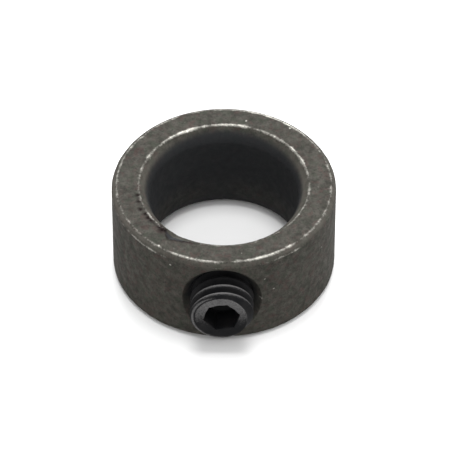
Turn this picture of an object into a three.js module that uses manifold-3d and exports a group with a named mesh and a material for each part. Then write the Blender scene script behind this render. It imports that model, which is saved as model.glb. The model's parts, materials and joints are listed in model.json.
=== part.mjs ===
// A one-piece shaft collar with a socket set screw, for a 14 mm shaft. Lengths are in millimetres.
// +Z runs along the shaft bore. The origin is on the bore's axis, in the collar's bottom face.
// The set screw points to -Y, and turning it clockwise drives it along +Y towards the shaft.
//
// The set screw is one real piece in two meshes: its unthreaded flat point only travels, and its
// threaded body travels and turns. A thin gap between them lets the body turn.

import * as THREE from "three";
import { mergeVertices } from "three/addons/utils/BufferGeometryUtils.js";
import Module from "manifold-3d";

// Collar ring. Its bore opens out in a rounded mouth at each end, which leans 12 degrees away
// from the bore's wall where it starts and 53 degrees at the end face.
const BORE_DIAMETER = 14;
const OUTER_DIAMETER = 21;
const COLLAR_WIDTH = 10;
const EDGE_CHAMFER = 0.45;
const MOUTH_ARC_RADIUS = 2.54;
const MOUTH_START = THREE.MathUtils.degToRad(12);
const MOUTH_END = THREE.MathUtils.degToRad(53);
const MOUTH_STEPS = 4;
const COLLAR_SEGMENTS = 96;

// Countersink around the tapped hole: a 90 degree cone. Its radius is where the cone meets
// the plane that touches the collar's outside.
const COUNTERSINK_RADIUS = 4.35;
const COUNTERSINK_SEGMENTS = 48;

// M6 x 1 set screw, 5 mm long, backed out so that its point is clear of the bore.
const SCREW_DIAMETER = 6;
const SCREW_LENGTH = 5;
const SCREW_STANDS_OUT = 1.85;
const SCREW_AXIS_HEIGHT = COLLAR_WIDTH / 2;
const SCREW_END_Y = -(OUTER_DIAMETER / 2 + SCREW_STANDS_OUT);
const END_CHAMFER = 0.2;
const SOCKET_ACROSS_FLATS = 3.05;
const SOCKET_DEPTH = 2.2;
const SOCKET_CORNER_ANGLE = THREE.MathUtils.degToRad(12.5);
const SOCKET_MOUTH_RADIUS = 1.62;
const SOCKET_FLOOR_RADIUS = 1.4;
const SOCKET_FLOOR_HALF_ANGLE = THREE.MathUtils.degToRad(60);

// Flat point: the flat end of a 45 degree cone, which runs on into the thread's first turn.
const POINT_LENGTH = 0.35;
const POINT_RADIUS = 2;
const POINT_GAP = 0.15;
const POINT_SEGMENTS = 48;

// How far a cutting shape runs past the face that it cuts.
const OVERRUN = 0.5;

// Thread: 60 degree flanks, right-handed. Each side stands back from the nominal radius by
// THREAD_ALLOWANCE, so that screw and hole run clear of each other.
const PITCH = 1;
const THREAD_DEPTH = 0.61;
const CREST_FLAT = PITCH / 8;
const FLANK_ANGLE = THREE.MathUtils.degToRad(30);
const THREAD_ALLOWANCE = 0.06;
const THREAD_LEAD_IN = 0.5;
const CREST_HEIGHT_AT_PLUS_Z = 0.35;
const SPARE_TURNS = 2;
const THREAD_SEGMENTS = 36;
const SCREW_CREST_RADIUS = SCREW_DIAMETER / 2 - THREAD_ALLOWANCE;
const HOLE_CREST_RADIUS = SCREW_DIAMETER / 2 + THREAD_ALLOWANCE;

const wasm = await Module();
wasm.setup();

// A closed geometry as a solid that can be joined and cut.
function solidFrom(geometry) {
  const bare = geometry.clone();
  bare.deleteAttribute("normal");
  bare.deleteAttribute("uv");
  const merged = mergeVertices(bare);
  const vertProperties = merged.getAttribute("position").array;
  const triVerts = new Uint32Array(merged.index.array);
  return new wasm.Manifold(new wasm.Mesh({ numProp: 3, vertProperties, triVerts }));
}

function geometryFrom(solid) {
  const { vertProperties, triVerts } = solid.getMesh();
  const geometry = new THREE.BufferGeometry();
  geometry.setAttribute("position", new THREE.BufferAttribute(vertProperties, 3));
  geometry.setIndex(new THREE.BufferAttribute(triVerts, 1));
  geometry.computeVertexNormals();
  return geometry;
}

// A solid of revolution about Y, from [radius, height] corners.
function turned(corners, segments) {
  const points = corners.map(([radius, height]) => new THREE.Vector2(radius, height));
  return new THREE.LatheGeometry(points, segments);
}

// A solid threaded rod along Y, a few turns longer than the screw at each end. It is a grid of
// columns that climb one pitch in a turn. After the last column comes the first one again, one
// pitch of rows higher, so each end is a helical rim with one step in it, closed by a fan to a
// point on the axis.
function threadedRod(crestRadius) {
  const rootRadius = crestRadius - THREAD_DEPTH;
  const crestEnd = CREST_FLAT / 2;
  const rootStart = crestEnd + THREAD_DEPTH * Math.tan(FLANK_ANGLE);
  const profile = [
    [crestRadius, -crestEnd],
    [crestRadius, crestEnd],
    [rootRadius, rootStart],
    [rootRadius, PITCH - rootStart],
  ];
  const step = profile.length;
  const turns = Math.ceil(SCREW_LENGTH / PITCH) + 2 * SPARE_TURNS;
  const rows = turns * step + 1;
  const lastRow = rows - 1;
  const lastColumn = THREAD_SEGMENTS - 1;
  const positions = [];
  for (let column = 0; column <= lastColumn; column++) {
    const turn = column / THREAD_SEGMENTS;
    const angle = 2 * Math.PI * turn;
    for (let row = 0; row < rows; row++) {
      const [radius, crestOffset] = profile[row % step];
      const climbed = PITCH * (Math.floor(row / step) - SPARE_TURNS + turn);
      const height = CREST_HEIGHT_AT_PLUS_Z + climbed + crestOffset;
      positions.push(radius * Math.sin(angle), height, radius * Math.cos(angle));
    }
  }

  const vertex = (column, row) => (column <= lastColumn ? column * rows + row : row + step);
  const indices = [];
  for (let column = 0; column <= lastColumn; column++) {
    const top = column < lastColumn ? lastRow : lastRow - step;
    for (let row = 0; row < top; row++) {
      const near = vertex(column, row);
      const far = vertex(column + 1, row);
      indices.push(near, far, far + 1, near, far + 1, near + 1);
    }
  }

  const bottomRim = [];
  const topRim = [];
  for (let column = 0; column <= lastColumn; column++) {
    bottomRim.push(vertex(column, 0));
    topRim.push(vertex(column, lastRow));
  }
  for (let row = step; row > 0; row--) {
    bottomRim.push(vertex(0, row));
    topRim.push(vertex(lastColumn, lastRow - 1 - step + row));
  }
  const ends = [
    { rim: bottomRim.reverse(), height: positions[1] },
    { rim: topRim, height: positions[3 * vertex(lastColumn, lastRow) + 1] },
  ];
  for (const { rim, height } of ends) {
    const centre = positions.length / 3;
    positions.push(0, height, 0);
    rim.forEach((corner, i) => indices.push(centre, corner, rim[(i + 1) % rim.length]));
  }

  const geometry = new THREE.BufferGeometry();
  geometry.setAttribute("position", new THREE.Float32BufferAttribute(positions, 3));
  geometry.setIndex(indices);
  return geometry;
}

// The screw's frame has its origin at the middle of the socket end's face, with +Y inwards.
function placeOnScrewAxis(object) {
  return object.translate(0, SCREW_END_Y, SCREW_AXIS_HEIGHT);
}

// The mouth's arc as [radius, distance from the end face], from the bore's wall to that face.
function mouthArc() {
  const arc = [];
  for (let step = 0; step <= MOUTH_STEPS; step++) {
    const lean = MOUTH_START + ((MOUTH_END - MOUTH_START) * step) / MOUTH_STEPS;
    const widening = MOUTH_ARC_RADIUS * (Math.cos(MOUTH_START) - Math.cos(lean));
    const depth = MOUTH_ARC_RADIUS * (Math.sin(MOUTH_END) - Math.sin(lean));
    arc.push([BORE_DIAMETER / 2 + widening, depth]);
  }
  return arc;
}

function collarRing() {
  const outer = OUTER_DIAMETER / 2;
  const top = COLLAR_WIDTH;
  const bottomMouth = mouthArc();
  const topMouth = bottomMouth.map(([radius, depth]) => [radius, top - depth]).reverse();
  const section = [
    ...bottomMouth,
    [outer - EDGE_CHAMFER, 0],
    [outer, EDGE_CHAMFER],
    [outer, top - EDGE_CHAMFER],
    [outer - EDGE_CHAMFER, top],
    ...topMouth,
    bottomMouth[0],
  ];
  const ring = turned(section, COLLAR_SEGMENTS).rotateX(Math.PI / 2);

  const apexDepth = COUNTERSINK_RADIUS - outer - SCREW_END_Y;
  const countersink = new THREE.ConeGeometry(apexDepth, apexDepth, COUNTERSINK_SEGMENTS);
  countersink.translate(0, apexDepth / 2, 0);
  const tap = threadedRod(HOLE_CREST_RADIUS);
  return geometryFrom(
    solidFrom(ring)
      .subtract(solidFrom(placeOnScrewAxis(countersink)))
      .subtract(solidFrom(placeOnScrewAxis(tap))),
  );
}

function hexSocket() {
  const cornerRadius = SOCKET_ACROSS_FLATS / 2 / Math.cos(Math.PI / 6);
  const hexagon = new THREE.CylinderGeometry(cornerRadius, cornerRadius, SOCKET_DEPTH + OVERRUN, 6);
  hexagon.translate(0, (SOCKET_DEPTH - OVERRUN) / 2, 0);
  hexagon.rotateY(SOCKET_CORNER_ANGLE);

  const floorHeight = SOCKET_FLOOR_RADIUS / Math.tan(SOCKET_FLOOR_HALF_ANGLE);
  const floor = turned(
    [
      [0, SOCKET_DEPTH - OVERRUN],
      [SOCKET_FLOOR_RADIUS, SOCKET_DEPTH - OVERRUN],
      [SOCKET_FLOOR_RADIUS, SOCKET_DEPTH],
      [0, SOCKET_DEPTH + floorHeight],
    ],
    POINT_SEGMENTS,
  );
  const mouth = turned(
    [
      [0, -OVERRUN],
      [SOCKET_MOUTH_RADIUS + OVERRUN, -OVERRUN],
      [0, SOCKET_MOUTH_RADIUS],
    ],
    POINT_SEGMENTS,
  );
  return solidFrom(hexagon).add(solidFrom(floor)).add(solidFrom(mouth));
}

function screwBody() {
  const bodyEnd = SCREW_LENGTH - POINT_LENGTH - POINT_GAP;
  const crest = SCREW_DIAMETER / 2;
  const rootRadius = SCREW_CREST_RADIUS - THREAD_DEPTH;
  const envelope = turned(
    [
      [0, 0],
      [crest - END_CHAMFER, 0],
      [crest, END_CHAMFER],
      [crest, bodyEnd - THREAD_LEAD_IN],
      [rootRadius + POINT_GAP, bodyEnd],
      [0, bodyEnd],
    ],
    THREAD_SEGMENTS * 2,
  );
  const rod = threadedRod(SCREW_CREST_RADIUS);
  return geometryFrom(solidFrom(rod).intersect(solidFrom(envelope)).subtract(hexSocket()));
}

function flatPoint() {
  const rootRadius = SCREW_CREST_RADIUS - THREAD_DEPTH;
  return turned(
    [
      [0, SCREW_LENGTH - POINT_LENGTH],
      [rootRadius, SCREW_LENGTH - POINT_LENGTH],
      [POINT_RADIUS, SCREW_LENGTH],
      [0, SCREW_LENGTH],
    ],
    POINT_SEGMENTS,
  );
}

function part(name, geometry, material) {
  const mesh = new THREE.Mesh(geometry, material);
  mesh.name = name;
  return mesh;
}

const collarSteel = new THREE.MeshStandardMaterial({
  color: 0x4b4945,
  roughness: 0.55,
  metalness: 0.85,
});
const screwSteel = new THREE.MeshStandardMaterial({
  color: 0x36373a,
  roughness: 0.4,
  metalness: 0.9,
});
const pointSteel = screwSteel.clone();

const screw = new THREE.Group();
screw.add(part("set_screw", screwBody(), screwSteel));
screw.add(part("set_screw_flat_point", flatPoint(), pointSteel));
screw.position.set(0, SCREW_END_Y, SCREW_AXIS_HEIGHT);

const shaftCollar = new THREE.Group();
shaftCollar.name = "shaft_collar";
shaftCollar.add(part("collar_ring", collarRing(), collarSteel));
shaftCollar.add(screw);

export default shaftCollar;
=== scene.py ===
import json
import math

import bpy
import numpy as np
from mathutils import Matrix, Vector, noise


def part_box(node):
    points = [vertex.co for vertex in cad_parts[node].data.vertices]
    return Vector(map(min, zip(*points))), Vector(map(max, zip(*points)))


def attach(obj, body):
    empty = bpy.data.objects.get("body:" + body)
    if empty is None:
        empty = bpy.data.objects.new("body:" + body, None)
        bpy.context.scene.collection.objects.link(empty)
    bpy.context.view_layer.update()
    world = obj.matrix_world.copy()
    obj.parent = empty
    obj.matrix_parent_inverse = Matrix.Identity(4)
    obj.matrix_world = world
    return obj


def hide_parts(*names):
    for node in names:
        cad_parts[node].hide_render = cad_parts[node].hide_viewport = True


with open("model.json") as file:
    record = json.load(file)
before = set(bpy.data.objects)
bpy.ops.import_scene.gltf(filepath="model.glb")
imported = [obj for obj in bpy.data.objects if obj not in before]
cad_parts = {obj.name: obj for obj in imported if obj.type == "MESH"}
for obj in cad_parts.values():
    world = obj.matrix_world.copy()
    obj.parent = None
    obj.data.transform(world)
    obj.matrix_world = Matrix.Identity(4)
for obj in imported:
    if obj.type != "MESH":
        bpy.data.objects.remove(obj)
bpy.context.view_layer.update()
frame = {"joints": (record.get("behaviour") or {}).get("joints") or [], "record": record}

# A black-oxide steel shaft collar with a hexagon socket set screw, in metres, in the CAD's frame:
# the bore's axis is Z, and the set screw points to -Y.

MM = 0.001


# ---------------------------------------------------------------- sizes

def named(rows, name):
    return next(row for row in rows if row["name"] == name)


# Sizes that the frame states.
shaft_bore = named(frame["record"]["mounts"], "shaft_bore")
screw_turn = named(frame["joints"], "screw_turn")
ring_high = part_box("collar_ring")[1]
screw_low, screw_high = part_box("set_screw")

BORE = shaft_bore["dims"]["r_mm"] * MM
OUTER = ring_high.x
WIDTH = ring_high.z
AXIS_Z = screw_turn["pos_m"][2]
SCREW_END = screw_low.y
SCREW_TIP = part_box("set_screw_flat_point")[1].y
CREST = screw_high.x

# Sizes that it doesn't state.
CHAMFER = 0.45 * MM
COUNTERSINK = 4.35 * MM
PITCH = 1.0 * MM
THREAD_DEPTH = 0.61 * MM
THREAD_CLEARANCE = 0.12 * MM
CREST_HEIGHT_AT_PLUS_Z = 0.35 * MM
END_CHAMFER = 0.2 * MM
SOCKET_FLATS = 3.05 * MM
SOCKET_DEPTH = 2.2 * MM
SOCKET_MOUTH = 1.62 * MM
SOCKET_TURN = math.radians(12.5)
SOCKET_DRILL_RADIUS = 1.4 * MM
SOCKET_FLOOR_HALF_ANGLE = math.radians(60)
POINT_RADIUS = 2.0 * MM

# The ring's edges are rounded. Its top outer chamfer is worn round, and the chamfer's middle is
# this far in from the side and from the top, where a flat chamfer's would be half of CHAMFER in.
ROUNDING = 0.06 * MM
WORN_CHAMFER_INSET = 0.18 * MM
WORN_CHAMFER_ROUNDING = 0.15 * MM

# The bore's mouth is a shallow arc. Its surface leans this far from the bore's wall.
MOUTH_ARC_RADIUS = 2.54 * MM
MOUTH_START = math.radians(12)
MOUTH_END = math.radians(53)
MOUTH_STEPS = 9

# How finely the meshes are divided: columns around each round shape, and the spacing of the
# ring's rows.
RING_COLUMNS = 540
CONE_COLUMNS = 256
SCREW_COLUMNS = 192
SCREW_THREAD_COLUMNS = 128
HOLE_THREAD_COLUMNS = 96
SOCKET_MOUTH_COLUMNS = 96
DRILL_COLUMNS = 64
FINE_SPACING = 0.12 * MM
SIDE_SPACING = 0.16 * MM
BORE_SPACING = 0.4 * MM
CORNER_ARC_STEPS = 3
SPARE_TURNS = 2


# ---------------------------------------------------------------- mesh helpers

def mesh_object(name, points, faces):
    mesh = bpy.data.meshes.new(name)
    mesh.from_pydata([tuple(p) for p in points], [], faces)
    mesh.validate()
    obj = bpy.data.objects.new(name, mesh)
    bpy.context.scene.collection.objects.link(obj)
    return obj


def revolved(name, corners, columns, along="z"):
    """A solid of revolution from (radius, height) corners, which end on the axis or close up."""
    on_axis = corners[0][0] == 0
    ring_corners = corners[1:-1] if on_axis else corners
    angles = [2 * math.pi * i / columns for i in range(columns)]
    points = [(r * math.cos(a), r * math.sin(a), h) for r, h in ring_corners for a in angles]
    rows = len(ring_corners)
    bands = rows - 1 if on_axis else rows
    faces = []
    for row in range(bands):
        low = row * columns
        high = (row + 1) % rows * columns
        for i in range(columns):
            j = (i + 1) % columns
            faces.append((low + i, low + j, high + j, high + i))
    if on_axis:
        first = len(points)
        last = first + 1
        points += [(0, 0, corners[0][1]), (0, 0, corners[-1][1])]
        top = (rows - 1) * columns
        for i in range(columns):
            j = (i + 1) % columns
            faces.append((first, j, i))
            faces.append((last, top + i, top + j))
    obj = mesh_object(name, points, faces)
    if along == "y":
        # Z becomes Y, and heights count from the screw's socket end.
        obj.data.transform(
            Matrix.Translation((0, SCREW_END, AXIS_Z)) @ Matrix.Rotation(-math.pi / 2, 4, "X")
        )
    return obj


def combined(obj, other, operation):
    """obj joined with, cut by or kept inside another closed mesh, which is used up."""
    modifier = obj.modifiers.new(operation, "BOOLEAN")
    modifier.operation = operation
    modifier.solver = "MANIFOLD"
    modifier.object = other
    bpy.context.view_layer.update()
    evaluated = obj.evaluated_get(bpy.context.evaluated_depsgraph_get())
    mesh = bpy.data.meshes.new_from_object(evaluated)
    obj.modifiers.clear()
    old = obj.data
    obj.data = mesh
    mesh.name = obj.name
    bpy.data.meshes.remove(old)
    bpy.data.meshes.remove(other.data)
    return obj


def dress(obj, material):
    """One material all over, in place of the empty slots that cutting leaves."""
    obj.data.materials.clear()
    obj.data.materials.append(material)
    obj.data.polygons.foreach_set("material_index", [0] * len(obj.data.polygons))


def smooth_with_sharp_edges(obj, angle):
    obj.data.shade_smooth()
    obj.data.set_sharp_from_angle(angle=math.radians(angle))


def rounded_path(corners):
    """A closed outline from (radius, height, rounding, spacing) corners. A corner with a rounding
    becomes an arc. The straight run after each corner is split, finely near its two ends and at
    about the corner's spacing between them."""
    outline = [Vector(corner[:2]) for corner in corners]
    arcs = []
    for k, here in enumerate(outline):
        rounding = corners[k][2]
        if rounding == 0:
            arcs.append([here])
            continue
        toward = (outline[k - 1] - here).normalized()
        away = (outline[(k + 1) % len(outline)] - here).normalized()
        half_bend = (math.pi - toward.angle(away)) / 2
        reach = rounding * math.tan(half_bend)
        middle = here + (toward + away).normalized() * (rounding / math.cos(half_bend))
        start = here + toward * reach - middle
        end = here + away * reach - middle
        shares = [step / CORNER_ARC_STEPS for step in range(CORNER_ARC_STEPS + 1)]
        arcs.append([middle + start.lerp(end, share).normalized() * rounding for share in shares])
    path = []
    for corner, arc, next_arc in zip(corners, arcs, arcs[1:] + arcs[:1]):
        run = next_arc[0] - arc[-1]
        path += arc
        path += [arc[-1] + run.normalized() * d for d in graded(run.length, ROUNDING, corner[3])]
    return [(p.x, p.y) for p in path]


def graded(length, fine, coarse):
    """Distances that split a run of this length, in steps that grow from each end."""
    growth = 1.5
    steps = []
    step = fine
    total = 0.0
    while step < coarse and total + step < length / 2 - step:
        total += step
        steps.append(total)
        step *= growth
    middle = length - 2 * total
    parts = max(1, round(middle / step))
    inner = [total + middle * i / parts for i in range(1, parts)]
    return steps + inner + [length - d for d in reversed(steps)]


# ---------------------------------------------------------------- threads

def thread_profile(crest):
    """One pitch of the thread as (distance along the axis, radius), from crest to crest: a flat
    crest with eased corners, 60 degree flanks and a rounded root."""
    ease = 0.02 * MM
    root_ease = 0.03 * MM
    root_lift = 0.035 * MM
    root = crest - THREAD_DEPTH
    flat = PITCH / 16
    flank = THREAD_DEPTH * math.tan(math.radians(30))
    valley = flat + flank
    near_crest = [(-flat - ease, crest - ease), (-flat, crest)]
    far_crest = [(flat, crest), (flat + ease, crest - ease)]
    flank_points = [(flat + flank * share, crest - THREAD_DEPTH * share) for share in (0.35, 0.65)]
    into_root = [(valley - root_ease, root + root_lift), (valley + ease, root)]
    out_of_root = [(PITCH - along, radius) for along, radius in reversed(into_root)]
    far_flank = [(PITCH - along, radius) for along, radius in reversed(flank_points)]
    root_middle = [(PITCH / 2, root - ease)]
    crest_to_root = near_crest + far_crest + flank_points + into_root
    return crest_to_root + root_middle + out_of_root + far_flank


def threaded_rod(name, crest, columns):
    """A solid right-handed threaded rod along the screw's axis, longer than the screw. Its
    columns climb one pitch in a turn, so after the last one comes the first, one pitch up."""
    profile = thread_profile(crest)
    step = len(profile)
    turns = math.ceil((SCREW_TIP - SCREW_END) / PITCH) + 2 * SPARE_TURNS
    rows = turns * step + 1
    points = []
    for column in range(columns):
        turn = column / columns
        sine = math.sin(2 * math.pi * turn)
        cosine = math.cos(2 * math.pi * turn)
        for row in range(rows):
            along, radius = profile[row % step]
            climbed = PITCH * (row // step - SPARE_TURNS + turn)
            y = SCREW_END + CREST_HEIGHT_AT_PLUS_Z + climbed + along
            points.append((radius * sine, y, AXIS_Z + radius * cosine))

    def vertex(column, row):
        return column * rows + row if column < columns else row + step

    faces = []
    for column in range(columns):
        top = rows - 1 if column < columns - 1 else rows - 1 - step
        for row in range(top):
            near = vertex(column, row)
            far = vertex(column + 1, row)
            faces.append((near, far, far + 1, near + 1))
    bottom_rim = [vertex(column, 0) for column in range(columns)]
    bottom_rim += [vertex(0, row) for row in range(step, 0, -1)]
    top_rim = [vertex(column, rows - 1) for column in range(columns)]
    top_rim += [vertex(columns - 1, row) for row in range(rows - 2, rows - 2 - step, -1)]
    for rim in (bottom_rim[::-1], top_rim):
        centre = len(points)
        points.append((0, points[rim[-1]][1], AXIS_Z))
        faces += [(centre, a, b) for a, b in zip(rim, rim[1:] + rim[:1])]
    return mesh_object(name, points, faces)


# ---------------------------------------------------------------- the collar ring

def mouth_arc():
    """The mouth's arc as (radius, distance from the end face), from the bore's wall out."""
    arc = []
    for step in range(MOUTH_STEPS + 1):
        lean = MOUTH_START + (MOUTH_END - MOUTH_START) * step / MOUTH_STEPS
        widening = MOUTH_ARC_RADIUS * (math.cos(MOUTH_START) - math.cos(lean))
        depth = MOUTH_ARC_RADIUS * (math.sin(MOUTH_END) - math.sin(lean))
        arc.append((BORE + widening, depth))
    return arc


BORE_RIM = mouth_arc()[-1][0]
OUTER_RIM = OUTER - CHAMFER

# Nicks in the ring: azimuth in degrees from +X, radius and height of the middle, then the nick's
# own radius and depth, all in millimetres. Most are on the edges.
NICKS = [
    (165, 8.05, 10, 0.22, 0.08),
    (171, 8.12, 10, 0.26, 0.09),
    (118, 8.02, 10, 0.30, 0.06),
    (104, 7.98, 10, 0.24, 0.05),
    (69, 8.05, 10, 0.20, 0.07),
    (30, 7.95, 10, 0.30, 0.07),
    (22, 7.98, 10, 0.22, 0.05),
    (268, 10.10, 9.95, 0.28, 0.05),
    (243, 10.45, 9.55, 0.35, 0.07),
    (233, 10.05, 10, 0.30, 0.06),
    (252, 10.05, 10, 0.26, 0.05),
    (301, 10.45, 9.55, 0.40, 0.06),
    (318, 10.05, 10, 0.30, 0.06),
    (140, 10.05, 10, 0.45, 0.08),
    (77, 9.60, 10, 0.25, 0.04),
    (20, 10.05, 0, 0.45, 0.07),
    (200, 10.05, 0, 0.40, 0.07),
    (100, 10.45, 0.45, 0.45, 0.07),
    (60, 8.00, 0, 0.30, 0.06),
    (290, 8.00, 0, 0.35, 0.07),
]

# Pits in the top face that lead up to the dent, as nicks. Painted shade darkens them.
PITS = [
    (191, 8.15, 10, 0.15, 0.07),
    (197, 8.25, 10, 0.16, 0.06),
    (204, 8.40, 10, 0.18, 0.08),
    (209, 8.25, 10, 0.17, 0.09),
    (213, 8.25, 10, 0.22, 0.12),
    (216, 8.20, 10, 0.20, 0.10),
    (224, 8.05, 10, 0.28, 0.16),
    (227, 8.15, 10, 0.34, 0.22),
]

# Bright flecks where the oxide has chipped off: azimuth in degrees from +X, then radius, height
# and size in millimetres. The small ones are scattered.
FLECKS = [
    (77, 8.75, 10, 0.13),
    (51, 9.75, 10, 0.15),
    (234, 9.95, 10, 0.16),
    (243, 10.5, 8.8, 0.15),
    (290, 10.5, 5.0, 0.19),
    (292, 10.5, 7.5, 0.12),
    (297, 10.5, 5.8, 0.12),
    (331, 10.5, 7.0, 0.13),
]
SMALL_FLECKS = 90

# The dent in the bore's front left edge: azimuth in degrees and radius in millimetres along its
# outer outline. Its floor drops by a step there, and then slopes down towards the bore.
DENT_OUTLINE = [(228, 7.96), (231, 8.42), (235, 8.72), (240, 8.46), (246, 8.15), (255, 7.96)]
DENT_SLOPE = math.tan(math.radians(24))
DENT_STEP = 0.16 * MM


def at_azimuth(degrees, radius, height):
    a = math.radians(degrees)
    return np.array([radius * math.cos(a), radius * math.sin(a), height])


def polar(points):
    """The radius of each point from the bore's axis, and its azimuth in degrees."""
    radius = np.hypot(points[:, 0], points[:, 1])
    return radius, np.degrees(np.arctan2(points[:, 1], points[:, 0])) % 360


def to_edges(radius, height):
    """The distance from the nearest of the ring's six edges."""
    edges = [(r, z) for r in (BORE_RIM, OUTER_RIM) for z in (0, WIDTH)]
    edges += [(OUTER, z) for z in (CHAMFER, WIDTH - CHAMFER)]
    return np.minimum.reduce([np.hypot(radius - r, height - z) for r, z in edges])


def dent_outline(azimuth):
    """The radius of the dent's outline at each azimuth, and the bore's rim away from the dent."""
    azimuths, radii = zip(*DENT_OUTLINE)
    return np.interp(azimuth, azimuths, [r * MM for r in radii])


def wear_ring(points):
    """The ring's points, moved a little as handling and tumbling move them: uneven edges,
    material lost at each nick, and one dent."""
    points = np.array(points)
    radius, azimuth = polar(points)
    inward = np.c_[points[:, :2] / radius[:, None], np.zeros(len(points))]
    inward *= np.sign((BORE + OUTER) / 2 - radius)[:, None]
    inward[:, 2] = np.sign(WIDTH / 2 - points[:, 2])
    inward /= np.linalg.norm(inward, axis=1)[:, None]
    uneven_size = 0.7 * MM
    edge_width = 0.14 * MM
    edge_loss = 0.03 * MM
    outline_wander = 0.06 * MM
    slope_wander = 0.08
    uneven = np.array([noise.noise(Vector(p) / uneven_size) for p in points])
    softened = np.exp(-((to_edges(radius, points[:, 2]) / edge_width) ** 2))
    depth = softened * (0.5 + uneven) * edge_loss
    for nick_azimuth, r, z, size, deep in NICKS + PITS:
        middle = at_azimuth(nick_azimuth, r * MM, z * MM)
        away = np.linalg.norm(points - middle, axis=1) / (size * MM)
        depth += deep * MM * np.clip(1 - (away * (1 + 0.5 * uneven)) ** 2, 0, 1) ** 1.5
    points += inward * depth[:, None]

    outline = dent_outline(azimuth)
    has_dent = outline > BORE_RIM + 0.01 * MM
    within = (outline + outline_wander * uneven - radius) * has_dent
    floor = WIDTH - DENT_STEP - within * (DENT_SLOPE + slope_wander * uneven)
    dented = (within > 0) & (points[:, 2] > floor)
    points[dented, 2] = floor[dented]
    return points


def make_ring():
    """The ring as a worn solid of revolution, with the countersink and the thread cut in it."""
    inset = WORN_CHAMFER_INSET
    mouth = [(r, z, 0, FINE_SPACING) for r, z in mouth_arc()]
    bottom_mouth = mouth[:-1] + [(BORE_RIM, 0, ROUNDING, SIDE_SPACING)]
    top_mouth = [(r, WIDTH - z, rounding, FINE_SPACING) for r, z, rounding, _ in bottom_mouth][::-1]
    section = bottom_mouth + [
        (OUTER_RIM, 0, ROUNDING, FINE_SPACING),
        (OUTER, CHAMFER, ROUNDING, SIDE_SPACING),
        (OUTER, WIDTH - CHAMFER, ROUNDING, FINE_SPACING),
        (OUTER - inset, WIDTH - inset, WORN_CHAMFER_ROUNDING, FINE_SPACING),
        (OUTER_RIM, WIDTH, ROUNDING, FINE_SPACING),
    ] + top_mouth[:-1] + [(BORE, WIDTH - mouth[0][1], 0, BORE_SPACING)]
    ring = revolved("shaft_collar_ring", rounded_path(section), RING_COLUMNS)
    worn = wear_ring([v.co for v in ring.data.vertices])
    ring.data.vertices.foreach_set("co", worn.astype(np.float32).ravel())
    apex = COUNTERSINK - OUTER - SCREW_END
    cone = revolved("countersink", [(0, 0), (apex, 0), (0, apex)], CONE_COLUMNS, along="y")
    tap = threaded_rod("tap", CREST + THREAD_CLEARANCE, HOLE_THREAD_COLUMNS)
    combined(ring, cone, "DIFFERENCE")
    combined(ring, tap, "DIFFERENCE")
    smooth_with_sharp_edges(ring, angle=28)
    return ring


# ---------------------------------------------------------------- the set screw

def screw_envelope():
    """The shape that trims the rod to the screw: a chamfered socket end and a flat point."""
    length = SCREW_TIP - SCREW_END
    body = CREST + 0.02 * MM
    rim_width = 0.04 * MM
    rim_depth = 0.03 * MM
    point_ease = 0.02 * MM
    point_rim_width = 0.03 * MM
    corners = [
        (0, 0),
        (body - END_CHAMFER - rim_width, 0),
        (body - END_CHAMFER, rim_depth),
        (body, END_CHAMFER),
        (body, length - (body - POINT_RADIUS)),
        (POINT_RADIUS + point_ease, length - point_ease),
        (POINT_RADIUS - point_rim_width, length),
        (0, length),
    ]
    return revolved("envelope", corners, SCREW_COLUMNS, along="y")


def socket_cutters():
    """The hexagon, the drilled floor below it and the cone at its mouth."""
    over = 0.5 * MM
    corner = SOCKET_FLATS / 2 / math.cos(math.pi / 6)
    hexagon_corners = [(0, -over), (corner, -over), (corner, SOCKET_DEPTH), (0, SOCKET_DEPTH)]
    hexagon = revolved("hexagon", hexagon_corners, columns=6)
    hexagon.data.transform(
        Matrix.Translation((0, SCREW_END, AXIS_Z))
        @ Matrix.Rotation(-SOCKET_TURN, 4, "Y")
        @ Matrix.Rotation(-math.pi / 2, 4, "X")
    )
    floor_drop = SOCKET_DRILL_RADIUS / math.tan(SOCKET_FLOOR_HALF_ANGLE)
    drill_side = [(SOCKET_DRILL_RADIUS, over), (SOCKET_DRILL_RADIUS, SOCKET_DEPTH)]
    drill_corners = [(0, over)] + drill_side + [(0, SOCKET_DEPTH + floor_drop)]
    drill = revolved("drill", drill_corners, DRILL_COLUMNS, along="y")
    mouth_corners = [(0, -over), (SOCKET_MOUTH + over, -over), (0, SOCKET_MOUTH)]
    mouth = revolved("mouth", mouth_corners, SOCKET_MOUTH_COLUMNS, along="y")
    return hexagon, drill, mouth


def make_screw():
    screw = threaded_rod("hex_set_screw", CREST, SCREW_THREAD_COLUMNS)
    combined(screw, screw_envelope(), "INTERSECT")
    for cutter in socket_cutters():
        combined(screw, cutter, "DIFFERENCE")
    smooth_with_sharp_edges(screw, angle=30)
    return screw


# ---------------------------------------------------------------- materials

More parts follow.
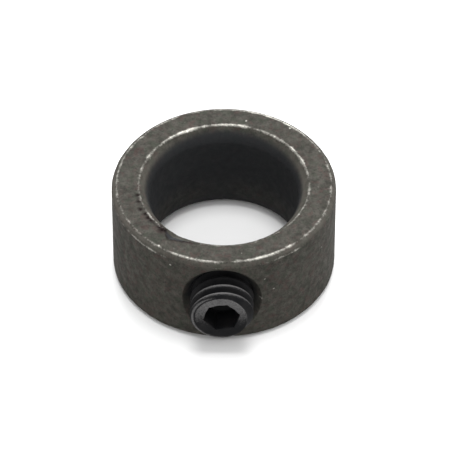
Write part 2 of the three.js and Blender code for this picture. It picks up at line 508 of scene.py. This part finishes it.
class Shader:
    """Builds one material's nodes. Each method adds a node and gives back its output."""

    def __init__(self, name):
        self.material = bpy.data.materials.new(name)
        self.material.use_nodes = True
        self.tree = self.material.node_tree
        self.bsdf = self.tree.nodes["Principled BSDF"]
        coordinates = self.tree.nodes.new("ShaderNodeTexCoord").outputs["Object"]
        self.place = self.vector("SCALE", coordinates, scale=1 / MM)

    def put(self, socket, value):
        if isinstance(value, bpy.types.NodeSocket):
            self.tree.links.new(value, socket)
        else:
            socket.default_value = value

    def vector(self, operation, a, b=None, scale=None):
        node = self.tree.nodes.new("ShaderNodeVectorMath")
        node.operation = operation
        self.put(node.inputs[0], a)
        if b is not None:
            self.put(node.inputs[1], b)
        if scale is not None:
            node.inputs["Scale"].default_value = scale
        return node.outputs["Value" if operation in ("LENGTH", "DOT_PRODUCT") else "Vector"]

    def math(self, operation, a, b=None):
        node = self.tree.nodes.new("ShaderNodeMath")
        node.operation = operation
        self.put(node.inputs[0], a)
        if b is not None:
            self.put(node.inputs[1], b)
        return node.outputs[0]

    def noise(self, size, detail=3.0, rough=0.5, warp=0.0):
        """Noise from 0 to 1 whose largest features are about size millimetres across."""
        node = self.tree.nodes.new("ShaderNodeTexNoise")
        self.put(node.inputs["Vector"], self.place)
        node.inputs["Scale"].default_value = 1 / size
        node.inputs["Detail"].default_value = detail
        node.inputs["Roughness"].default_value = rough
        node.inputs["Distortion"].default_value = warp
        return node.outputs["Fac"]

    def scaled(self, value, low, high, to_low=0.0, to_high=1.0, smooth=False):
        """A value carried from one range over to another, and held inside it."""
        node = self.tree.nodes.new("ShaderNodeMapRange")
        node.interpolation_type = "SMOOTHSTEP" if smooth else "LINEAR"
        node.inputs["From Min"].default_value = low
        node.inputs["From Max"].default_value = high
        node.inputs["To Min"].default_value = to_low
        node.inputs["To Max"].default_value = to_high
        self.put(node.inputs["Value"], value)
        return node.outputs["Result"]

    def mix(self, share, a, b):
        """Colour a, with this share of colour b. A Mix node has its colours at these sockets."""
        node = self.tree.nodes.new("ShaderNodeMix")
        node.data_type = "RGBA"
        self.put(node.inputs["Factor"], share)
        self.put(node.inputs[6], a)
        self.put(node.inputs[7], b)
        return node.outputs[2]

    def attribute(self, name):
        node = self.tree.nodes.new("ShaderNodeAttribute")
        node.attribute_name = name
        return node.outputs["Fac"]

    def bump(self, height, distance, normal=None):
        node = self.tree.nodes.new("ShaderNodeBump")
        node.inputs["Strength"].default_value = 1.0
        node.inputs["Distance"].default_value = distance
        self.put(node.inputs["Height"], height)
        if normal is not None:
            self.put(node.inputs["Normal"], normal)
        return node.outputs["Normal"]


def opaque(r, g, b):
    return (r, g, b, 1.0)


def ring_material():
    """Dull mottled oxide with faint reddish and greenish tints. A painted sheen makes it paler on
    the chamfer and the bore's mouth. Painted shade makes it darker inside the bore, in the screw's
    hole, on the dent and in the pits. It is bare steel where it is worn through."""
    dark_oxide = opaque(0.0235, 0.0225, 0.0190)
    light_oxide = opaque(0.0335, 0.0312, 0.0262)
    patch_oxide = opaque(0.0525, 0.0494, 0.0428)
    reddish = opaque(0.0500, 0.0270, 0.0250)
    greenish = opaque(0.0205, 0.0290, 0.0190)
    dark_grain = opaque(0.0090, 0.0090, 0.0085)
    # Painted sheen colour for the chamfer and the bore's mouth.
    painted_sheen_oxide = opaque(0.0760, 0.0710, 0.0620)
    # Painted shade colour for the bore, the screw's hole and the dent.
    painted_shade_oxide = opaque(0.0146, 0.0157, 0.0177)
    # Painted shade colour for the pits and the dent's outline.
    pit_and_dent_shade = opaque(0.0045, 0.0018, 0.0018)
    bare_steel = opaque(0.35, 0.34, 0.31)

    s = Shader("black_oxide_worn")
    cloud = s.noise(2.6, detail=4, rough=0.55, warp=0.4)
    patch = s.noise(0.65, detail=4, rough=0.6)
    tint = s.noise(0.6, detail=2, rough=0.5, warp=0.6)
    grain = s.noise(0.18, detail=3, rough=0.7)
    uneven = s.noise(1.1, detail=3, rough=0.6)
    colour = s.mix(s.scaled(cloud, 0.35, 0.68, smooth=True), dark_oxide, light_oxide)
    colour = s.mix(s.scaled(patch, 0.36, 0.74), colour, patch_oxide)
    colour = s.mix(s.scaled(tint, 0.54, 0.68, 0, 0.35), colour, reddish)
    colour = s.mix(s.scaled(tint, 0.46, 0.34, 0, 0.35), colour, greenish)
    colour = s.mix(s.scaled(grain, 0.50, 0.30, 0, 0.6), colour, dark_grain)
    # Painted sheen on the chamfer and the bore's mouth.
    colour = s.mix(s.attribute("pale"), colour, painted_sheen_oxide)
    # Painted shade: the bore's wall, the screw's hole and the dent are coloured darker.
    colour = s.mix(s.math("MULTIPLY", s.attribute("bore"), 0.85), colour, painted_shade_oxide)
    # Painted shade in and between the pits and along the dent's outline.
    colour = s.mix(s.attribute("pit_and_dent_shade"), colour, pit_and_dent_shade)

    broken = s.math("ADD", s.attribute("wear"), s.scaled(uneven, 0.25, 0.75, -0.26, 0.26))
    broken = s.math("ADD", broken, s.scaled(grain, 0.3, 0.7, -0.14, 0.14))
    bare = s.scaled(broken, 0.28, 1.0, smooth=True)
    s.put(s.bsdf.inputs["Base Color"], s.mix(bare, colour, bare_steel))
    s.put(s.bsdf.inputs["Metallic"], bare)
    s.bsdf.inputs["Specular IOR Level"].default_value = 0.05
    dull = s.scaled(patch, 0.3, 0.7, 0.78, 0.68)
    s.put(s.bsdf.inputs["Roughness"], s.math("SUBTRACT", dull, s.scaled(bare, 0, 1, 0, 0.30)))
    coarse = s.bump(patch, 0.030 * MM)
    s.put(s.bsdf.inputs["Normal"], s.bump(grain, 0.016 * MM, normal=coarse))
    return s.material


def screw_material():
    """Smoother and blacker oxide. It is grey steel on the crests and along the end face's outer
    edge where it is rubbed. It is also grey steel as a painted sheen towards the screw's upper
    side, on the crests and around the socket.
    """
    dark_oxide = opaque(0.0050, 0.0052, 0.0058)
    light_oxide = opaque(0.0082, 0.0080, 0.0084)
    dark_grain = opaque(0.0030, 0.0030, 0.0034)
    bare_steel = opaque(0.24, 0.235, 0.235)

    s = Shader("black_oxide_screw")
    cloud = s.noise(1.2, detail=3, rough=0.5)
    grain = s.noise(0.10, detail=3, rough=0.6)
    colour = s.mix(s.scaled(cloud, 0.35, 0.65, smooth=True), dark_oxide, light_oxide)
    colour = s.mix(s.scaled(grain, 0.5, 0.3, 0, 0.4), colour, dark_grain)
    # The end face's band around the socket is painted sheen, and its outer-edge band is rubbing.
    worn = s.math("MAXIMUM", s.attribute("wear"), end_face_wear_and_sheen(s))
    worn = s.math("ADD", worn, s.scaled(grain, 0.3, 0.7, -0.16, 0.14))
    bare = s.scaled(worn, 0.12, 1.0, 0, 0.8)
    s.put(s.bsdf.inputs["Base Color"], s.mix(bare, colour, bare_steel))
    s.put(s.bsdf.inputs["Metallic"], bare)
    s.bsdf.inputs["Specular IOR Level"].default_value = 0.04
    s.put(s.bsdf.inputs["Roughness"], s.scaled(grain, 0.3, 0.7, 0.44, 0.36))
    s.put(s.bsdf.inputs["Normal"], s.bump(grain, 0.005 * MM))
    return s.material


def end_face_wear_and_sheen(s):
    """On the socket end's flat face: a painted sheen in a band around the socket, strong on its
    upper side and hardly any on its lower side, and a thinner band of rubbing along the face's
    outer edge. The bands' radii are in millimetres."""
    inner_fade = 2.40
    between = 2.52
    outer_full = 2.66
    across = s.vector("MULTIPLY", s.place, (1, 0, 1))
    from_axis = s.vector("SUBTRACT", across, (0, 0, AXIS_Z / MM))
    radius = s.vector("LENGTH", from_axis)
    depth = s.math("SUBTRACT", s.vector("DOT_PRODUCT", s.place, (0, 1, 0)), SCREW_END / MM)
    on_face = s.scaled(depth, 0.03, 0.10, 1, 0)
    height = s.vector("DOT_PRODUCT", from_axis, (0, 0, 1))
    # Painted sheen: stronger towards the face's upper side.
    upper_sheen = s.scaled(height, -2.0, 1.6, 0.0, 0.45, smooth=True)
    inner_sheen_band = s.math("MULTIPLY", upper_sheen, s.scaled(radius, inner_fade, between, 1, 0))
    outer_band = s.scaled(radius, between, outer_full, 0, 0.42)
    return s.math("MULTIPLY", on_face, s.math("ADD", inner_sheen_band, outer_band))


# ---------------------------------------------------------------- wear maps

def store(obj, name, values):
    """Keeps one value a vertex, from 0 to 1, under the name that the materials read."""
    attribute = obj.data.attributes.new(name, "FLOAT", "POINT")
    attribute.data.foreach_set("value", np.asarray(values, np.float32))


def positions(obj):
    """The places of the mesh's vertices, one row each."""
    flat = np.empty(len(obj.data.vertices) * 3, np.float32)
    obj.data.vertices.foreach_get("co", flat)
    return flat.reshape(-1, 3).astype(float)


def bump_at(azimuth, centre, half_width):
    """A smooth hump of height 1 around one azimuth, in degrees."""
    away = (azimuth - centre + 180) % 360 - 180
    return np.exp(-((away / half_width) ** 2))


def scattered_flecks():
    """Small flecks all over the ring's top, bottom and side, the same on every run."""
    random = np.random.default_rng(5)
    flecks = []
    for _ in range(SMALL_FLECKS):
        azimuth = random.uniform(0, 360)
        size = random.uniform(0.05, 0.10)
        if random.random() < 0.5 and abs(azimuth - 270) > 20:
            flecks.append((azimuth, OUTER / MM, random.uniform(0.6, 9.4), size))
        else:
            flecks.append((azimuth, random.uniform(8.2, 9.9), random.choice([0, 10]), size))
    return flecks


def along_edge(points, edge_radius, edge_height, width):
    """How near each point is to one of the ring's edges: 1 on it, and fading over the width."""
    radius, _ = polar(points)
    away = np.hypot(radius - edge_radius, points[:, 2] - edge_height)
    return np.exp(-((away / width) ** 2))


def at_spot(points, azimuth, radius, height, size):
    """How near each point is to one spot, given in degrees and millimetres."""
    away = np.linalg.norm(points - at_azimuth(azimuth, radius * MM, height * MM), axis=1)
    return np.exp(-((away / (size * MM)) ** 2))


def bare_places(points):
    """Oxide worn through: along the edges, more on some stretches than others, and the flecks."""
    _, azimuth = polar(points)
    bore_share = 0.46 + 0.18 * bump_at(azimuth, 80, 60) + 0.30 * bump_at(azimuth, 121, 12)
    bore_share += 0.15 * bump_at(azimuth, 31, 8) + 0.08 * bump_at(azimuth, 212, 14)
    bore_share -= 0.15 * bump_at(azimuth, 295, 20)
    outer_share = 0.48 + 0.25 * bump_at(azimuth, 65, 20) + 0.27 * bump_at(azimuth, 252, 12)
    outer_share += 0.30 * bump_at(azimuth, 296, 13)
    lower_share = 0.22 + 0.35 * bump_at(azimuth, 228, 14) + 0.35 * bump_at(azimuth, 307, 12)
    lower_share += 0.20 * bump_at(azimuth, 190, 10)
    bare = np.maximum.reduce([
        along_edge(points, BORE_RIM, WIDTH, 0.22 * MM) * bore_share,
        along_edge(points, OUTER_RIM, WIDTH, 0.21 * MM) * outer_share,
        along_edge(points, OUTER, WIDTH - CHAMFER, 0.16 * MM) * lower_share,
        along_edge(points, BORE_RIM, 0, 0.15 * MM) * 0.6,
        along_edge(points, OUTER_RIM, 0, 0.14 * MM) * 0.55,
        along_edge(points, OUTER, CHAMFER, 0.12 * MM) * 0.35,
    ])
    for fleck in FLECKS:
        bare = np.maximum(bare, at_spot(points, *fleck) * 0.9)
    for fleck in scattered_flecks():
        bare = np.maximum(bare, at_spot(points, *fleck) * 0.6)
    return bare


def painted_sheen_places(points):
    """Painted sheen: paler colour on the chamfer, strongest towards the left and right, and on the
    bore's mouth at the left and right.
    """
    _, azimuth = polar(points)
    # Painted sheen on the chamfer, strongest towards the left and right.
    chamfer_sheen_share = 0.15 + 0.38 * bump_at(azimuth, 208, 30) + 0.32 * bump_at(azimuth, 325, 28)
    into_chamfer = 0.4 * CHAMFER
    chamfer = along_edge(points, OUTER - into_chamfer, WIDTH - into_chamfer, 0.28 * MM)
    # Painted sheen on the bore's mouth at the left and right.
    mouth_sheen_share = 0.5 * (bump_at(azimuth, 165, 38) + bump_at(azimuth, 12, 38))
    mouth = along_edge(points, BORE + 0.55 * MM, WIDTH - 0.5 * MM, 0.40 * MM)
    return np.maximum(chamfer * chamfer_sheen_share, mouth * mouth_sheen_share)


def painted_shade_places(points):
    """Painted shade: darker oxide colour over the bore's wall, reaching furthest up the mouth at
    the back, and over the screw's countersunk hole and the dent. A painted reflection of the floor
    makes the lower part of the wall a little paler, least at the back."""
    radius, azimuth = polar(points)
    wall_fade = 0.5 * MM
    dent_fade = 0.08 * MM
    hole_fade = 0.15 * MM
    reflection_height = 2.3 * MM
    reflection_width = 1.3 * MM
    # Painted shade reaches further up the bore's mouth at the back.
    wall_edge = BORE + (0.55 + 0.25 * bump_at(azimuth, 90, 50)) * MM
    into_bore = np.clip((wall_edge - radius) / wall_fade, 0, 1)
    wall = into_bore * into_bore * (3 - 2 * into_bore)
    floor_reflection_band = np.exp(-(((points[:, 2] - reflection_height) / reflection_width) ** 2))
    # Painted reflection of the floor: a paler band low on the wall, least at the back.
    wall *= 1 - floor_reflection_band * (0.42 - 0.26 * bump_at(azimuth, 96, 16))

    # Painted shade on the dent's floor.
    in_dent = np.clip((dent_outline(azimuth) - radius) / dent_fade, 0, 1)
    in_dent *= (radius > BORE_RIM) & (points[:, 2] > WIDTH / 2)

    from_screw_axis = np.hypot(points[:, 0], points[:, 2] - AXIS_Z)
    # Painted shade in the screw's countersunk hole.
    in_hole = np.clip((OUTER - radius) / hole_fade, 0, 1) * (radius > BORE_RIM)
    in_hole *= (points[:, 1] < 0) & (from_screw_axis < COUNTERSINK)
    return np.maximum.reduce([wall, in_dent, in_hole])


def painted_pit_and_dent_shade(points):
    """Painted shade in the pits and between them, and along the dent's outline."""
    radius, azimuth = polar(points)
    row_radius = 8.22 * MM
    row_width = 0.10 * MM
    outline_width = 0.18 * MM
    on_top = points[:, 2] > WIDTH - 0.8 * MM
    pit_and_dent_shade = np.maximum.reduce([
        at_spot(points, pit_azimuth, r, z, 1.3 * size) for pit_azimuth, r, z, size, _ in PITS
    ])
    between = np.exp(-(((radius - row_radius) / row_width) ** 2)) * bump_at(azimuth, 216, 10)
    from_outline = radius - dent_outline(azimuth)
    outline_share = 1.1 * bump_at(azimuth, 248, 8) + 0.6 * bump_at(azimuth, 236, 6)
    along_outline = np.exp(-((from_outline / outline_width) ** 2)) * outline_share
    pit_and_dent_shade = np.maximum(pit_and_dent_shade, on_top * np.maximum(0.7 * between, along_outline))
    return np.clip(pit_and_dent_shade * 1.2, 0, 0.95)


def ring_wear(obj):
    """The four maps that ring_material reads."""
    points = positions(obj)
    store(obj, "wear", bare_places(points))
    store(obj, "pale", painted_sheen_places(points))
    store(obj, "bore", painted_shade_places(points))
    store(obj, "pit_and_dent_shade", painted_pit_and_dent_shade(points))


def screw_wear_and_sheen(obj):
    """The thread's crests, rubbed where the screw stands out of the hole, with a painted sheen that
    makes this wear grow from none at the axis's height to most on the screw's top.
    """
    points = positions(obj)
    radius = np.hypot(points[:, 0], points[:, 2] - AXIS_Z)
    crest_band = 0.04 * MM
    crest = np.clip((radius - (CREST - crest_band)) / crest_band, 0, 1)
    # Painted sheen: the crests' wear grows towards the screw's upper side.
    upper_sheen = np.clip((points[:, 2] - AXIS_Z) / CREST, 0, 1)
    worn_length = 2.1 * MM
    worn_fade = 0.5 * MM
    from_end = points[:, 1] - SCREW_END
    outside_hole = np.clip((worn_length - from_end) / worn_fade, 0, 1)
    store(obj, "wear", crest * outside_hole * 0.7 * upper_sheen ** 1.5)


# ---------------------------------------------------------------- floor, light and camera

def make_floor():
    """A large sheet of white paper, a hair below the ring so that the two share no plane."""
    half = 1.5
    below = 0.02 * MM
    floor = mesh_object(
        "floor",
        [(-half, -half, 0), (half, -half, 0), (half, half, 0), (-half, half, 0)],
        [(0, 1, 2, 3)],
    )
    floor.location.z = -below
    s = Shader("white_paper")
    speck = s.noise(40, detail=2)
    paper = s.mix(speck, opaque(0.64, 0.64, 0.64), opaque(0.66, 0.66, 0.66))
    s.put(s.bsdf.inputs["Base Color"], paper)
    s.bsdf.inputs["Roughness"].default_value = 0.9
    s.bsdf.inputs["Specular IOR Level"].default_value = 0.2
    floor.data.materials.append(s.material)


def area_light(name, size, power, position):
    """A round soft light that points at the frame's origin."""
    light = bpy.data.lights.new(name, "AREA")
    light.shape = "DISK"
    light.size = size
    light.energy = power
    obj = bpy.data.objects.new(name, light)
    bpy.context.scene.collection.objects.link(obj)
    obj.location = position
    obj.rotation_euler = (-Vector(position)).to_track_quat("-Z", "Y").to_euler()


def make_lights():
    area_light("overhead", 0.25, 2.9, (0, 0, 0.60))
    area_light("behind", 0.4, 4.7, (0, 0.50, 0.25))
    area_light("front", 0.4, 0.8, (0, -0.35, 0.50))
    area_light("right", 0.3, 1.0, (0.45, 0, 0.30))
    world = bpy.data.worlds.new("studio")
    bpy.context.scene.world = world
    world.use_nodes = True
    background = world.node_tree.nodes["Background"]
    background.inputs["Color"].default_value = (1, 1, 1, 1)
    background.inputs["Strength"].default_value = 1.0


def make_camera():
    """Looks down on the collar from in front, from a long way off through a long lens. The
    picture is picture_width wide at the collar's distance."""
    azimuth = math.radians(1.0)
    elevation = math.radians(46.17)
    distance = 0.3854
    picture_width = 42.796 * MM
    back = Vector((
        math.sin(azimuth) * math.cos(elevation),
        -math.cos(azimuth) * math.cos(elevation),
        math.sin(elevation),
    ))
    data = bpy.data.cameras.new("camera")
    data.sensor_width = 36.0
    data.lens = data.sensor_width * distance / picture_width
    data.clip_start = 0.02
    camera = bpy.data.objects.new("camera", data)
    bpy.context.scene.collection.objects.link(camera)
    camera.location = back * distance
    look_at = Vector((0.106 * MM, 0, 0.455 * WIDTH))
    camera.rotation_euler = (look_at - camera.location).to_track_quat("-Z", "Y").to_euler()
    bpy.context.scene.camera = camera


# ---------------------------------------------------------------- putting it together

bpy.context.scene.view_settings.view_transform = "Standard"
make_camera()
make_lights()
make_floor()

ring = make_ring()
ring_wear(ring)
dress(ring, ring_material())
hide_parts("collar_ring")
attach(ring, "collar")

screw = make_screw()
screw_wear_and_sheen(screw)
dress(screw, screw_material())
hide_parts("set_screw", "set_screw_flat_point")
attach(screw, "screw")
